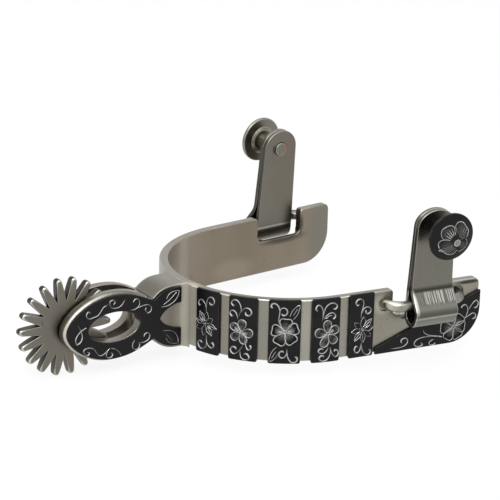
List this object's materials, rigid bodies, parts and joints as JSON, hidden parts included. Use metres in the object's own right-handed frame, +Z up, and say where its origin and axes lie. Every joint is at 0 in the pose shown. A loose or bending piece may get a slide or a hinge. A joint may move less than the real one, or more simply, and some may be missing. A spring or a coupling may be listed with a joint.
{
  "type": "western spur",
  "caption": "Western riding spur: heel band with splayed arms, oval forked shank with a turning rowel, blackened trim plates on its outer side, and button hangers that swing on bent pins.",
  "frame": {"origin": "middle of the heel band's inner face, at mid-height of the band", "axes": "+X towards the boot's toe, -X along the shank to the rowel, -Y the decorated outer side, +Z up"},
  "size_m": [0.1556, 0.126, 0.0614],
  "materials": {
    "steel": "satin brushed",
    "rowel_steel": "satin, worn bright at the tips",
    "blackened": "satin black, engraved through to bright metal"
  },
  "bodies": {
    "spur": {"heel_band": "steel", "shank": "steel", "rowel_pin": "steel", "shank_plate": "blackened", "trim_plate_1": "blackened", "trim_plate_2": "blackened", "trim_plate_3": "blackened", "trim_plate_4": "blackened", "trim_plate_5": "blackened", "corner_plate": "blackened", "near_hanger_pin": "steel", "far_hanger_pin": "steel"},
    "rowel": {"rowel": "rowel_steel"},
    "near_button_hanger": {"near_hanger": "steel", "near_button": "blackened", "near_button_stud": "blackened"},
    "far_button_hanger": {"far_hanger": "steel", "far_button": "steel", "far_button_stud": "steel"}
  },
  "joints": [
    {"name": "rowel_spin", "type": "hinge", "parent": "spur", "child": "rowel", "pos_m": [-0.0468, 0, 0.001], "axis": [0, 1, 0], "continuous": true},
    {"name": "near_hanger_swing", "type": "hinge", "parent": "spur", "child": "near_button_hanger", "pos_m": [0.06738, -0.05226, 0.0065], "axis": [0.9945, -0.1045, 0], "range_deg": [-92, 165]},
    {"name": "far_hanger_swing", "type": "hinge", "parent": "spur", "child": "far_button_hanger", "pos_m": [0.06738, 0.05226, 0.0065], "axis": [-0.9945, -0.1045, 0], "range_deg": [-83, 174]}
  ]
}
